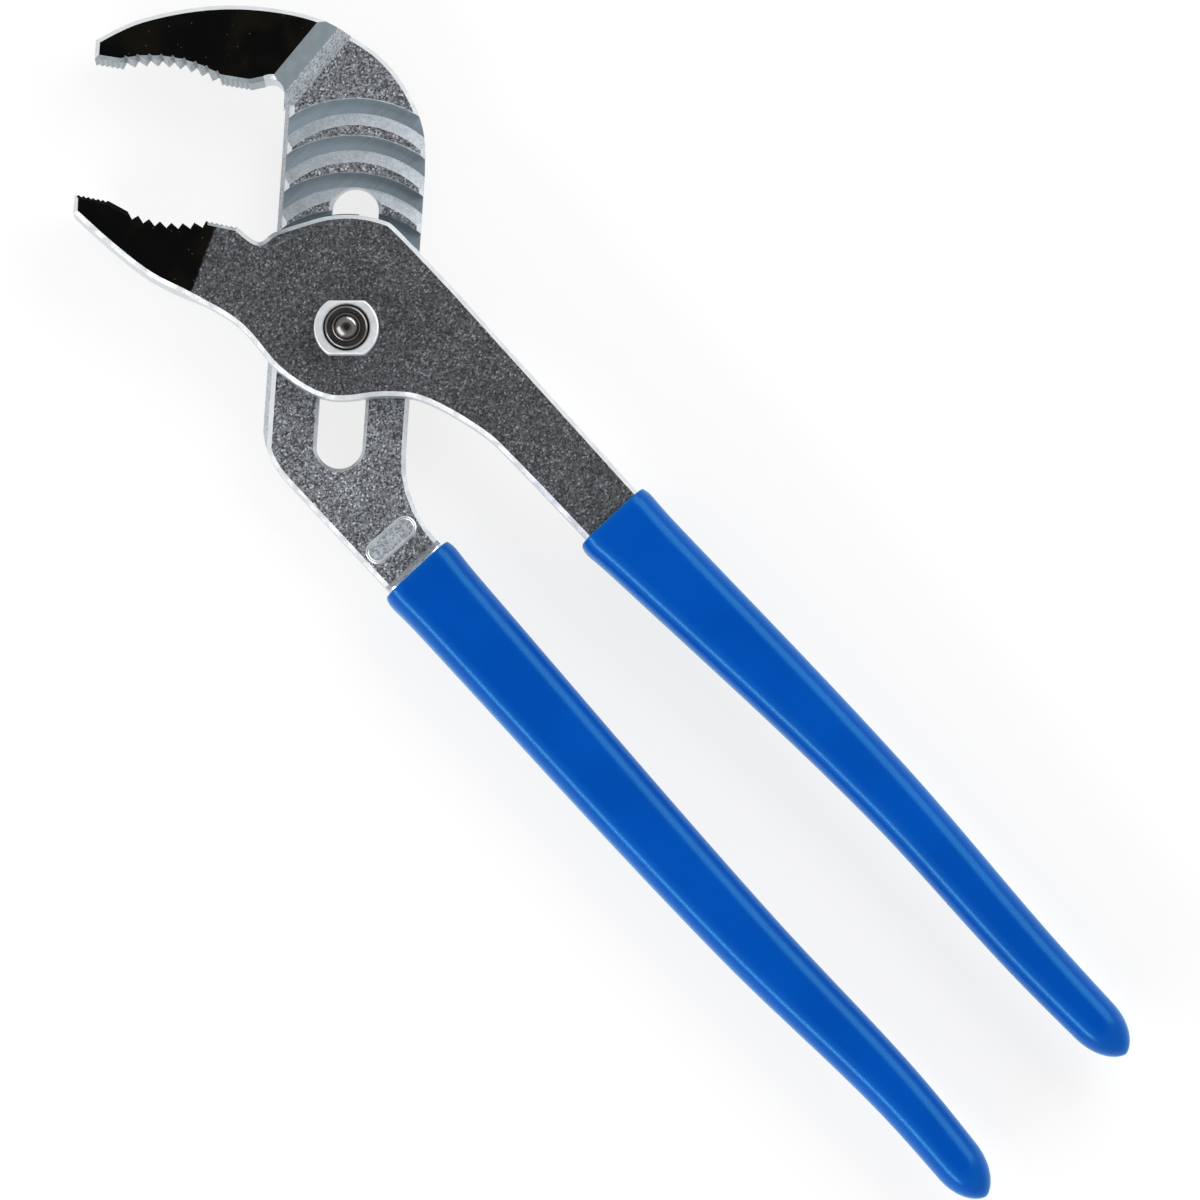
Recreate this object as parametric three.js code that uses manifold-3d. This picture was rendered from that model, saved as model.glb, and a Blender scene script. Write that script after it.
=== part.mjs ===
// Multigrip pliers: two forged halves on a pivot that slides in a slot, with dipped grips.
// Millimetres. +Z runs along the pivot axis from the bolt head to the nut, +Y points to the head of the
// tool and the handles run towards -Y. The origin is on the pivot axis, at the underside of the bolt head.
import * as THREE from 'three';
import { mergeVertices } from 'three/addons/utils/BufferGeometryUtils.js';
import Module from 'manifold-3d';

const wasm = await Module();
wasm.setup();

// Pivot
const BOLT_RADIUS = 4;
const BOLT_CLEARANCE = 0.3;
const BOLT_END_PROUD = 0.4;
const BOLT_END_CHAMFER = 0.5;
const DIMPLE_RADIUS = 2.4;
const DIMPLE_DEPTH = 1.5;
const HEAD_OVERLAP = 3.6;
const HEAD_THICKNESS = 3;
const HEAD_EDGE = 0.9;
const NUT_WALL = 2;
const NUT_FLAT_WALL = 1;
const NUT_THICKNESS = 3.2;
const NUT_EDGE = 0.35;
const NUT_TURN = 3.8;
const FACE_GAP = 0.3;

// Forged plates and the joint between them
const PLATE_THICKNESS = 6;
const JOINT_GAP = 0.3;
const EDGE_BEVEL = 0.8;

// Adjustment: arc grooves across the neck, one for each position of the pivot, which rests in the middle one
const GROOVE_COUNT = 7;
const GROOVE_PITCH = 6.9;
const GROOVE_DEPTH = 1.8;
const GROOVE_FLOOR = 2.6;
const GROOVE_RAMP = 2.4;
const GROOVE_CLEARANCE = 0.35;
const GROOVE_OUTER_PLAY = 1;
const TONGUE_PROUD = 0.6;
const SLOT_LOWER_PLAY = 0.3;
const SLOT_UPPER_PLAY = 2.2;
const SLOT_RIM = 0.6;
const TONGUE_START_ANGLE = 88;
const TONGUE_END_ANGLE = 141;

// Neck of the slotted half, measured from the slot's centre line
const NECK_THROAT_SIDE = 14.5;
const NECK_BACK_SIDE = 12.3;
const THROAT_CHAMFER = 0.9;
const THROAT_CHAMFER_DROP = 1.2;
const THROAT_DRAFT = 1.1;
const THROAT_RADIUS = 2.4;
const THROAT_ARC = 125;
const THROAT_KNEE_BLEND = 7;
const BACK_KNEE_SHARE = 0.9;

// Tongue half's body, measured from the pivot axis. The shoulder's arc starts past its corner with the
// handle, the crest comes past the arc's end, and the notch past the crest.
const SHOULDER_RADIUS = 21.3;
const SHOULDER_START_ANGLE = 2.1;
const SHOULDER_END_ANGLE = 113;
const NOTCH_RISE = 1.7;
const NOTCH_ANGLE = 9;
const CREST_RISE = 1.1;
const CREST_ANGLE = 17;
const HANDLE_TOP_RISE = 0.9;
const HANDLE_TOP_PLACE = 8;

// Jaws: a fine-toothed land at the tip, a coarse-toothed hollow and a fine-toothed land at the heel
const JAW_CLOSED_GAP = 4.6;
const LOWER_TIP_RISE = 21.7;
const JAW_TIP_HEIGHT = 3.5;
const UPPER_TIP_LAND = 4.8;
const LOWER_TIP_LAND = 6.4;
const HEEL_LAND = 5.5;
const TOOTH_PITCH = 2.08;
const TOOTH_DEPTH = 1.15;
const UPPER_TOOTH_COUNT = 9;
const LOWER_TOOTH_COUNT = 7;
const FINE_PITCH = 0.9;
const FINE_DEPTH = 0.35;
const HOLLOW_DEPTH = 1.8;
const UPPER_HEEL_GAP = 6.5;
const LOWER_HEEL_GAP = 7;
const UPPER_FACE_LEAN = 5.4;
const LOWER_FACE_LEAN = 7.7;
const TOOTH_STEEP_SHARE = 0.36;

// Step from the joint face to the full thickness of a jaw: a steep foot, then a gentler bevel
const STEP_FOOT_RUN = 2.6;
const STEP_FOOT_SHARE = 0.58;
const STEP_BEVEL_RUN = 3.4;
const HANDLE_STEP_RUN = 2.6;

// Handles: straight bars at an angle to the neck that bow outwards, then narrow to a waist before the end
const HANDLE_BEND = 46.84;
const SLOTTED_HANDLE_OFFSET = 20.6;
const TONGUE_HANDLE_OFFSET = 12.3;
const SLOTTED_GRIP_START = 41.5;
const TONGUE_GRIP_START = 60.3;
const SLOTTED_GRIP_END = 197.2;
const TONGUE_GRIP_END = 195.6;
const HANDLE_STEP_LEAD = 2;
const PLATE_END_LEAD = 1;
const BAR_EMBED = 5;
const BAR_WIDTH = 12.8;
const SLOTTED_BOW_WIDTH = 9.6;
const TONGUE_BOW_WIDTH = 8.8;
const BAR_WAIST_WIDTH = 7.4;
const BAR_END_WIDTH = 6.3;
const BAR_THICKNESS = 9.2;
const BAR_END_THICKNESS = 6.4;
const BAR_CORNER = 2.2;
const BAR_SINK = 0.3;
const END_LENGTH = 8.5;
const END_BLUNT = 0.26;
const BOW_LENGTH = 65;
const WAIST_LENGTH = 24;
const SLOTTED_BOW_OFFSET = 1.8;
const SLOTTED_WAIST_OFFSET = 0.9;
const SLOTTED_END_OFFSET = 2.1;
const TONGUE_BOW_OFFSET = 2.4;
const TONGUE_WAIST_OFFSET = 1.4;
const TONGUE_END_OFFSET = 1.7;

// Grips
const GRIP_WALL = 1.1;
const GRIP_GAP = 0.3;
const GRIP_END_WALL = 3;
const GRIP_LIP = 0.5;
const GRIP_CORNER = 3.3;

// Outline points between the sizes above. The jaw's back is given from the slot's centre line and the
// topmost pivot position, the belly from the pivot axis.
const JAW_BACK = [[-42.2, 34.1], [-31, 37.2], [-20, 38], [-9, 36.5], [1.3, 31.9], [7.9, 25.2], [11.5, 17.7]];
const JAW_BACK_END = 10;
const BELLY = [[-44.7, 12.6], [-37.1, 7.5], [-28.6, 3.8], [-19.8, -0.8], [-11.6, -8.8], [-2.4, -13.1],
  [7.9, -11.8], [15.4, -12.35], [25.9, -17.4]];
const BELLY_END = 40;
const BELLY_END_DROP = 0.2;
const UPPER_STEP_FOOT = [[-3.1, 12.8], [-12.7, -0.6]];
const LOWER_STEP_FOOT = [[-5.1, 16.5], [-13.1, 2]];

const CURVE_STEPS = 5;
const ROUND_STEPS = 96;
const SMALL_ROUND_STEPS = 48;
const CORNER_STEPS = 4;
const HANDLE_RINGS = 16;
const END_RINGS = 6;
const CORNER_LIMIT = 0.48;
const MERGE_DISTANCE = 1e-4;
const BEYOND = 1;
const FAR = 400;

const FORGED = { color: 0x6b6d71, metalness: 0.9, roughness: 0.45 };
const BOLT_STEEL = { color: 0x47484b, metalness: 0.9, roughness: 0.35 };
const ZINC = { color: 0xc6cacd, metalness: 0.9, roughness: 0.3 };
const BLUE_VINYL = { color: 0x0a4cb4, metalness: 0, roughness: 0.35 };

// Sizes that follow from the ones above
const restGroove = Math.ceil(GROOVE_COUNT / 2);
const lowerTravel = GROOVE_PITCH * (restGroove - 1);
const upperTravel = GROOVE_PITCH * (GROOVE_COUNT - restGroove);
const rearZ = HEAD_THICKNESS + FACE_GAP;
const neckZ = rearZ + PLATE_THICKNESS;
const tongueZ = neckZ + JOINT_GAP;
const frontZ = tongueZ + PLATE_THICKNESS;
const middleZ = (rearZ + frontZ) / 2;
const nutZ = frontZ + FACE_GAP;
const boreRadius = BOLT_RADIUS + BOLT_CLEARANCE;
const tongueOuter = SHOULDER_RADIUS + TONGUE_PROUD;
const grooveOuter = tongueOuter + GROOVE_OUTER_PLAY;
const handleAngle = THREE.MathUtils.degToRad(HANDLE_BEND - 90);

const radians = THREE.MathUtils.degToRad;
const point = (x, y) => new THREE.Vector2(x, y);
const polar = (radius, degrees) => point(radius, 0).rotateAround(point(0, 0), radians(degrees));

// A point on a handle, given along and across the handle, in the frame of the neck
function onHandle(along, across) {
  return point(along, across).rotateAround(point(0, 0), handleAngle);
}

// Booleans
function solid(geometry) {
  const bare = geometry.clone();
  bare.deleteAttribute('normal');
  bare.deleteAttribute('uv');
  const merged = mergeVertices(bare, MERGE_DISTANCE);
  return new wasm.Manifold(new wasm.Mesh({
    numProp: 3,
    vertProperties: new Float32Array(merged.attributes.position.array),
    triVerts: new Uint32Array(merged.index.array),
  }));
}

function geometryOf(body) {
  const { vertProperties, triVerts } = body.getMesh();
  const geometry = new THREE.BufferGeometry();
  geometry.setAttribute('position', new THREE.BufferAttribute(vertProperties, 3));
  geometry.setIndex(new THREE.BufferAttribute(triVerts, 1));
  geometry.computeVertexNormals();
  return geometry;
}

// Shapes
function plate(path, low, high, bevel) {
  const geometry = new THREE.ExtrudeGeometry(new THREE.Shape(path.getPoints(CURVE_STEPS)), {
    depth: high - low - 2 * bevel,
    bevelEnabled: bevel > 0,
    bevelThickness: bevel,
    bevelSize: bevel,
    bevelOffset: -bevel,
    bevelSegments: 1,
  });
  return solid(geometry.translate(0, 0, low + bevel));
}

// A long prism whose section stands on a line in the plan: the section's first axis points along facing
function prism(section, foot, facing) {
  const shape = new THREE.Shape(section.map(([run, height]) => point(run, height)));
  const geometry = new THREE.ExtrudeGeometry(shape, { depth: FAR, bevelEnabled: false });
  geometry.translate(0, 0, -FAR / 2);
  const across = new THREE.Vector3(facing.x, facing.y, 0).normalize();
  const up = new THREE.Vector3(0, 0, 1);
  const along = new THREE.Vector3().crossVectors(across, up);
  geometry.applyMatrix4(new THREE.Matrix4().makeBasis(across, up, along));
  return solid(geometry.translate(foot.x, foot.y, 0));
}

// Skin a row of rings with equally many points into one closed body
function loft(rings) {
  const size = rings[0].length;
  const corners = rings.flat();
  const index = [];
  for (let ring = 0; ring + 1 < rings.length; ring += 1) {
    for (let corner = 0; corner < size; corner += 1) {
      const here = ring * size + corner;
      const next = ring * size + (corner + 1) % size;
      index.push(here, next, here + size, next, next + size, here + size);
    }
  }
  for (const [ring, order] of [[0, -1], [rings.length - 1, 1]]) {
    const centre = corners.length;
    const middle = new THREE.Vector3();
    rings[ring].forEach((corner) => middle.addScaledVector(corner, 1 / size));
    corners.push(middle);
    for (let corner = 0; corner < size; corner += 1) {
      const here = ring * size + corner;
      const next = ring * size + (corner + 1) % size;
      index.push(centre, order > 0 ? here : next, order > 0 ? next : here);
    }
  }
  const geometry = new THREE.BufferGeometry().setFromPoints(corners);
  geometry.setIndex(index);
  return solid(geometry);
}

function revolve(profile, steps) {
  const points = profile.map(([radius, height]) => point(radius, height));
  return solid(new THREE.LatheGeometry(points, steps).rotateX(Math.PI / 2));
}

// Round hole for the bolt
function bore() {
  const cylinder = new THREE.CylinderGeometry(boreRadius, boreRadius, FAR, SMALL_ROUND_STEPS);
  return solid(cylinder.rotateX(Math.PI / 2));
}

// Jaw faces: heel and tip of the gripping face, with the curve of the toothed hollow between its two lands
function jawFace(heel, lean, inwards, tipLand, toothCount) {
  const tipwards = point(-Math.cos(radians(lean)), Math.sin(radians(lean)));
  const inward = point(tipwards.y, -tipwards.x).multiplyScalar(inwards);
  const hollowStart = heel.clone().addScaledVector(tipwards, HEEL_LAND);
  const hollowEnd = hollowStart.clone().addScaledVector(tipwards, UPPER_TOOTH_COUNT * TOOTH_PITCH);
  const bulge = hollowStart.clone().lerp(hollowEnd, 0.5).addScaledVector(inward, 2 * HOLLOW_DEPTH);
  const tip = hollowEnd.clone().addScaledVector(tipwards, tipLand);
  const hollow = new THREE.QuadraticBezierCurve(hollowStart, bulge, hollowEnd);
  return { heel, hollowStart, bulge, hollowEnd, tip, hollow, tipwards, inward, tipLand, toothCount };
}

// One gullet between two teeth. Its steep flank faces the heel on the lower jaw and the tip on the upper.
function gullet(mouth, tipwards, inward, pitch, depth, steepTipwards) {
  const steep = pitch * TOOTH_STEEP_SHARE;
  const ahead = steepTipwards ? steep : pitch - steep;
  const behind = pitch - ahead;
  const corner = (along, deep) => {
    const place = mouth.clone().addScaledVector(tipwards, along);
    return place.addScaledVector(inward, deep);
  };
  const shape = new THREE.Shape([
    corner(ahead, 0),
    corner(0, depth),
    corner(-behind, 0),
    corner(-behind, -BEYOND),
    corner(ahead, -BEYOND),
  ]);
  const geometry = new THREE.ExtrudeGeometry(shape, { depth: FAR, bevelEnabled: false });
  return solid(geometry.translate(0, 0, -FAR / 2));
}

function gullets(face, steepTipwards) {
  const { heel, hollowEnd, hollow, tipwards, inward, tipLand, toothCount } = face;
  const cuts = [];
  for (let tooth = 0; tooth < toothCount; tooth += 1) {
    const share = (tooth + 0.5) / UPPER_TOOTH_COUNT;
    const along = hollow.getTangent(share);
    const across = point(along.y, -along.x);
    const deep = across.multiplyScalar(Math.sign(across.dot(inward)));
    cuts.push(gullet(hollow.getPoint(share), along, deep, TOOTH_PITCH, TOOTH_DEPTH, steepTipwards));
  }
  for (const [start, length] of [[heel, HEEL_LAND], [hollowEnd, tipLand]]) {
    const count = Math.floor(length / FINE_PITCH);
    for (let tooth = 0; tooth < count; tooth += 1) {
      const mouth = start.clone().addScaledVector(tipwards, (tooth + 0.5) * length / count);
      cuts.push(gullet(mouth, tipwards, inward, length / count, FINE_DEPTH, steepTipwards));
    }
  }
  return cuts;
}

// Everything between the jaw's step and the handle's step, where a half is one plate thick
function jointRegion(jointZ, outerZ, stepFoot, handleStepAt, handleFacing) {
  const rise = outerZ - jointZ;
  const past = outerZ + Math.sign(rise) * BEYOND;
  const below = jointZ - Math.sign(rise) * (PLATE_THICKNESS + BEYOND);
  const [upper, lower] = stepFoot;
  const jawwards = point(lower.y - upper.y, upper.x - lower.x);
  const jawStep = prism([
    [0, below],
    [0, jointZ],
    [STEP_FOOT_RUN, jointZ + rise * STEP_FOOT_SHARE],
    [STEP_FOOT_RUN + STEP_BEVEL_RUN, outerZ],
    [STEP_FOOT_RUN + STEP_BEVEL_RUN, past],
    [FAR, past],
    [FAR, below],
  ], lower, jawwards);
  const handleStep = prism([
    [0, below],
    [0, jointZ],
    [HANDLE_STEP_RUN, past],
    [FAR, past],
    [FAR, below],
  ], handleStepAt, handleFacing);
  const room = new THREE.BoxGeometry(FAR, FAR, FAR);
  return solid(room).subtract(jawStep).subtract(handleStep);
}

// Handles. A rounded rectangle across the handle, and the handle's sizes at a distance from its end.
function handleRing(along, across, height, width, thickness, corner) {
  const radius = Math.min(corner, CORNER_LIMIT * width, CORNER_LIMIT * thickness);
  const ring = [];
  for (const [side, level, turn] of [[1, 1, 0], [-1, 1, 90], [-1, -1, 180], [1, -1, 270]]) {
    for (let step = 0; step <= CORNER_STEPS; step += 1) {
      const angle = radians(turn + 90 * step / CORNER_STEPS);
      ring.push(new THREE.Vector3(
        along,
        across + side * (width / 2 - radius) + radius * Math.cos(angle),
        height + level * (thickness / 2 - radius) + radius * Math.sin(angle),
      ));
    }
  }
  return ring;
}

// Smooth value between stations, each a distance from the handle's end with the value there
function between(stations, distance) {
  const places = stations.map(([place]) => place);
  const values = stations.map(([, value]) => value);
  return new THREE.CubicInterpolant(places, values, 1).evaluate(distance)[0];
}

// A bar or a sleeve from one place on the handle to another. Grow is its allowance over the bar all round.
function handleBody(handle, from, to, grow, corner, lip) {
  const length = handle.gripEnd - handle.gripStart;
  const places = [0, WAIST_LENGTH, BOW_LENGTH, length];
  const widths = places.map((place, index) => [place, handle.widths[index]]);
  const offsets = places.map((place, index) => [place, handle.offsets[index]]);
  const thicknesses = [[0, BAR_END_THICKNESS], [length, BAR_THICKNESS]];
  const heights = [[0, middleZ], [length, handle.startZ]];
  const ringAt = (along, scale) => {
    const distance = THREE.MathUtils.clamp(handle.gripEnd - along, 0, length);
    const width = between(widths, distance) + 2 * grow;
    const thickness = between(thicknesses, distance) + 2 * grow;
    const across = handle.side * (handle.offset + between(offsets, distance));
    return handleRing(along, across, between(heights, distance), width * scale, thickness * scale, corner);
  };
  const rings = [];
  if (lip > 0) rings.push(ringAt(from, 1 - 2 * lip / BAR_WIDTH));
  for (let step = 0; step <= HANDLE_RINGS; step += 1) {
    rings.push(ringAt(from + lip + (to - END_LENGTH - from - lip) * step / HANDLE_RINGS, 1));
  }
  for (let step = 1; step <= END_RINGS; step += 1) {
    const share = step / END_RINGS;
    rings.push(ringAt(to - END_LENGTH * (1 - share), 1 - (1 - END_BLUNT) * share ** 2));
  }
  return loft(rings).rotate([0, 0, THREE.MathUtils.radToDeg(handleAngle)]);
}

function handleBar(handle) {
  const from = handle.gripStart - HANDLE_STEP_LEAD - BAR_EMBED;
  return handleBody(handle, from, handle.gripEnd - GRIP_END_WALL, 0, BAR_CORNER, 0);
}

function grip(handle) {
  const grow = GRIP_GAP + GRIP_WALL;
  const sleeve = handleBody(handle, handle.gripStart, handle.gripEnd, grow, GRIP_CORNER, GRIP_LIP);
  const hollowFrom = handle.gripStart - HANDLE_STEP_LEAD - BAR_EMBED;
  const hollowTo = handle.gripEnd - GRIP_END_WALL + GRIP_GAP;
  return sleeve.subtract(handleBody(handle, hollowFrom, hollowTo, GRIP_GAP, BAR_CORNER + GRIP_GAP, 0));
}

const slottedHandle = {
  side: -1,
  offset: SLOTTED_HANDLE_OFFSET,
  gripStart: SLOTTED_GRIP_START,
  gripEnd: SLOTTED_GRIP_END,
  widths: [BAR_END_WIDTH, BAR_WAIST_WIDTH, SLOTTED_BOW_WIDTH, BAR_WIDTH],
  offsets: [SLOTTED_END_OFFSET, SLOTTED_WAIST_OFFSET, SLOTTED_BOW_OFFSET, 0],
  startZ: rearZ + BAR_SINK + BAR_THICKNESS / 2,
};

const tongueHandle = {
  side: 1,
  offset: TONGUE_HANDLE_OFFSET,
  gripStart: TONGUE_GRIP_START,
  gripEnd: TONGUE_GRIP_END,
  widths: [BAR_END_WIDTH, BAR_WAIST_WIDTH, TONGUE_BOW_WIDTH, BAR_WIDTH],
  offsets: [TONGUE_END_OFFSET, TONGUE_WAIST_OFFSET, TONGUE_BOW_OFFSET, 0],
  startZ: frontZ - BAR_SINK - BAR_THICKNESS / 2,
};

// The foot of a handle's step and the end of its plate, just before the grip
const stepPlace = (handle) => handle.gripStart - HANDLE_STEP_LEAD;
const plateEnd = (handle) => handle.gripStart - PLATE_END_LEAD;

// Ring about the pivot with the section of a groove or tongue: a wall, a flat floor and a ramp further in
function arcRing(outer, floorInner, floorZ, topZ) {
  const rampTop = floorInner - (topZ - floorZ) * GROOVE_RAMP / GROOVE_DEPTH;
  return revolve([
    [rampTop, topZ],
    [floorInner, floorZ],
    [outer, floorZ],
    [outer, topZ],
    [rampTop, topZ],
  ], ROUND_STEPS);
}

// Slotted half, in the frame of its neck: y along the slot, origin at the pivot's groove at rest
const toothedLength = HEEL_LAND + UPPER_TOOTH_COUNT * TOOTH_PITCH;
const upperFall = (toothedLength + UPPER_TIP_LAND) * Math.sin(radians(UPPER_FACE_LEAN));
const lowerFall = (toothedLength + LOWER_TIP_LAND) * Math.sin(radians(LOWER_FACE_LEAN));
const upperTipY = upperTravel + LOWER_TIP_RISE + JAW_CLOSED_GAP;
const upperHeel = point(-NECK_THROAT_SIDE - UPPER_HEEL_GAP, upperTipY - upperFall);
const lowerHeel = point(-NECK_THROAT_SIDE - LOWER_HEEL_GAP, LOWER_TIP_RISE - lowerFall);
const upperFace = jawFace(upperHeel, UPPER_FACE_LEAN, 1, UPPER_TIP_LAND, UPPER_TOOTH_COUNT);
const lowerFace = jawFace(lowerHeel, LOWER_FACE_LEAN, -1, LOWER_TIP_LAND, LOWER_TOOTH_COUNT);

function addJawFace(path, face) {
  path.lineTo(face.hollowStart.x, face.hollowStart.y);
  path.quadraticCurveTo(face.bulge.x, face.bulge.y, face.hollowEnd.x, face.hollowEnd.y);
  path.lineTo(face.tip.x, face.tip.y);
}

function slottedOutline() {
  const outer = -SLOTTED_HANDLE_OFFSET - BAR_WIDTH / 2;
  const inner = -SLOTTED_HANDLE_OFFSET + BAR_WIDTH / 2;
  const endAt = plateEnd(slottedHandle);
  const alongEdge = (x, across) => (across - x * Math.sin(-handleAngle)) / Math.cos(handleAngle);
  const backKnee = point(NECK_BACK_SIDE, alongEdge(NECK_BACK_SIDE, inner));
  const throatKnee = point(-NECK_THROAT_SIDE, alongEdge(-NECK_THROAT_SIDE, outer));
  const innerEnd = onHandle(endAt, inner);
  const outerEnd = onHandle(endAt, outer);
  const backBlend = backKnee.distanceTo(innerEnd) * BACK_KNEE_SHARE;
  const handleBlend = throatKnee.clone().lerp(outerEnd, THROAT_KNEE_BLEND / throatKnee.distanceTo(outerEnd));
  const throatCentre = point(-NECK_THROAT_SIDE - THROAT_RADIUS, upperHeel.y - THROAT_RADIUS / 2);
  const path = new THREE.Path();
  path.moveTo(upperFace.tip.x, upperFace.tip.y);
  path.lineTo(upperFace.tip.x, upperFace.tip.y + JAW_TIP_HEIGHT);
  path.splineThru([
    ...JAW_BACK.map(([x, rise]) => point(x, upperTravel + rise)),
    point(NECK_BACK_SIDE, upperTravel + JAW_BACK_END),
  ]);
  path.lineTo(backKnee.x, backKnee.y + backBlend);
  path.quadraticCurveTo(backKnee.x, backKnee.y, innerEnd.x, innerEnd.y);
  path.lineTo(outerEnd.x, outerEnd.y);
  path.lineTo(handleBlend.x, handleBlend.y);
  path.quadraticCurveTo(throatKnee.x, throatKnee.y, throatKnee.x, throatKnee.y + THROAT_KNEE_BLEND);
  path.lineTo(-NECK_THROAT_SIDE, throatCentre.y);
  path.absarc(throatCentre.x, throatCentre.y, THROAT_RADIUS, 0, radians(THROAT_ARC), false);
  path.lineTo(upperHeel.x, upperHeel.y);
  addJawFace(path, upperFace);
  return path;
}

function stadiumRing(radius, low, high, z) {
  const ring = [];
  for (let step = 0; step <= SMALL_ROUND_STEPS; step += 1) {
    const angle = radians(360 * (step + 0.5) / (SMALL_ROUND_STEPS + 1));
    const centre = step <= SMALL_ROUND_STEPS / 2 ? high : low;
    ring.push(new THREE.Vector3(radius * Math.cos(angle), centre + radius * Math.sin(angle), z));
  }
  return ring;
}

function slotCut() {
  const low = -lowerTravel - SLOT_LOWER_PLAY;
  const high = upperTravel + SLOT_UPPER_PLAY;
  return loft([
    stadiumRing(boreRadius, low, high, rearZ - BEYOND),
    stadiumRing(boreRadius, low, high, neckZ - SLOT_RIM),
    stadiumRing(boreRadius + 2 * SLOT_RIM, low, high, neckZ + SLOT_RIM),
  ]);
}

function grooveCut(pivotY) {
  const ring = arcRing(grooveOuter, grooveOuter - GROOVE_FLOOR, neckZ - GROOVE_DEPTH, neckZ + BEYOND);
  const upperHalf = new THREE.BoxGeometry(FAR, FAR, FAR).translate(0, FAR / 2 + BOLT_RADIUS, 0);
  return ring.intersect(solid(upperHalf)).translate([0, pivotY, 0]);
}

function throatEdgeCut() {
  return prism([
    [0, rearZ],
    [-THROAT_DRAFT, neckZ - THROAT_CHAMFER_DROP],
    [-THROAT_DRAFT - THROAT_CHAMFER, neckZ],
    [-THROAT_DRAFT - THROAT_CHAMFER, neckZ + BEYOND],
    [FAR, neckZ + BEYOND],
    [FAR, rearZ],
  ], point(-NECK_THROAT_SIDE, 0), point(-1, 0));
}

function slottedHalf() {
  const stepFoot = UPPER_STEP_FOOT.map(([x, rise]) => point(x, upperTravel + SHOULDER_RADIUS + rise));
  const region = jointRegion(
    neckZ,
    frontZ,
    stepFoot,
    onHandle(stepPlace(slottedHandle), -SLOTTED_HANDLE_OFFSET),
    onHandle(1, 0),
  );
  const belowJaw = new THREE.BoxGeometry(FAR, FAR, FAR).translate(0, stepFoot[1].y - FAR / 2, 0);
  const neck = plate(slottedOutline(), rearZ, neckZ, EDGE_BEVEL);
  let half = plate(slottedOutline(), rearZ, frontZ, EDGE_BEVEL).add(handleBar(slottedHandle));
  half = half.subtract(region.subtract(neck)).subtract(slotCut());
  half = half.subtract(throatEdgeCut().intersect(solid(belowJaw)));
  for (let groove = 1; groove <= GROOVE_COUNT; groove += 1) {
    half = half.subtract(grooveCut((groove - restGroove) * GROOVE_PITCH));
  }
  for (const cut of gullets(upperFace, true)) half = half.subtract(cut);
  return half;
}

// Tongue half, in the frame of the neck at rest: origin on the pivot axis
function tongueOutline() {
  const lowerEdge = TONGUE_HANDLE_OFFSET - BAR_WIDTH / 2;
  const upperEdge = TONGUE_HANDLE_OFFSET + BAR_WIDTH / 2;
  const endAt = plateEnd(tongueHandle);
  const topEdge = upperEdge + HANDLE_TOP_RISE;
  const handleTop = onHandle(HANDLE_TOP_PLACE, topEdge);
  const meet = Math.min(topEdge, SHOULDER_RADIUS);
  const corner = onHandle(-Math.sqrt(SHOULDER_RADIUS ** 2 - meet ** 2), meet);
  const cornerAngle = THREE.MathUtils.radToDeg(corner.angle());
  const shoulderStart = cornerAngle + SHOULDER_START_ANGLE;
  const shoulderEnd = polar(SHOULDER_RADIUS, shoulderStart);
  const crestAngle = SHOULDER_END_ANGLE + CREST_ANGLE;
  const crest = polar(SHOULDER_RADIUS + CREST_RISE, crestAngle);
  const notch = polar(SHOULDER_RADIUS + NOTCH_RISE, crestAngle + NOTCH_ANGLE);
  const path = new THREE.Path();
  path.moveTo(lowerFace.tip.x, lowerFace.tip.y - JAW_TIP_HEIGHT);
  path.splineThru([
    ...BELLY.map(([x, y]) => point(x, y)),
    onHandle(BELLY_END, lowerEdge - BELLY_END_DROP),
    onHandle(endAt, lowerEdge),
  ]);
  const handleEnd = onHandle(endAt, upperEdge);
  path.lineTo(handleEnd.x, handleEnd.y);
  path.lineTo(handleTop.x, handleTop.y);
  path.quadraticCurveTo(corner.x, corner.y, shoulderEnd.x, shoulderEnd.y);
  path.absarc(0, 0, SHOULDER_RADIUS, radians(shoulderStart), radians(SHOULDER_END_ANGLE), false);
  path.splineThru([crest, notch, lowerHeel]);
  addJawFace(path, lowerFace);
  return path;
}

function tongue() {
  const rampLength = Math.hypot(GROOVE_RAMP, GROOVE_DEPTH);
  const rampShift = GROOVE_CLEARANCE * (rampLength - GROOVE_RAMP) / GROOVE_DEPTH;
  const tipInner = grooveOuter - GROOVE_FLOOR + rampShift;
  const ring = arcRing(tongueOuter, tipInner, neckZ - GROOVE_DEPTH + GROOVE_CLEARANCE, tongueZ + BEYOND);
  const reach = 2 * grooveOuter;
  const sector = new THREE.Shape([
    point(0, 0),
    polar(reach, TONGUE_START_ANGLE),
    polar(reach, (TONGUE_START_ANGLE + TONGUE_END_ANGLE) / 2),
    polar(reach, TONGUE_END_ANGLE),
  ]);
  const wedge = new THREE.ExtrudeGeometry(sector, { depth: FAR, bevelEnabled: false });
  return ring.intersect(solid(wedge.translate(0, 0, -FAR / 2)));
}

function tongueHalf() {
  const stepFoot = LOWER_STEP_FOOT.map(([x, y]) => point(x - NECK_THROAT_SIDE, y));
  const region = jointRegion(
    tongueZ,
    rearZ,
    stepFoot,
    onHandle(stepPlace(tongueHandle), TONGUE_HANDLE_OFFSET),
    onHandle(1, 0),
  );
  const web = plate(tongueOutline(), tongueZ, frontZ, EDGE_BEVEL);
  let half = plate(tongueOutline(), rearZ, frontZ, EDGE_BEVEL).add(handleBar(tongueHandle));
  half = half.subtract(region.subtract(web)).add(tongue()).subtract(bore());
  for (const cut of gullets(lowerFace, false)) half = half.subtract(cut);
  return half;
}

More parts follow.
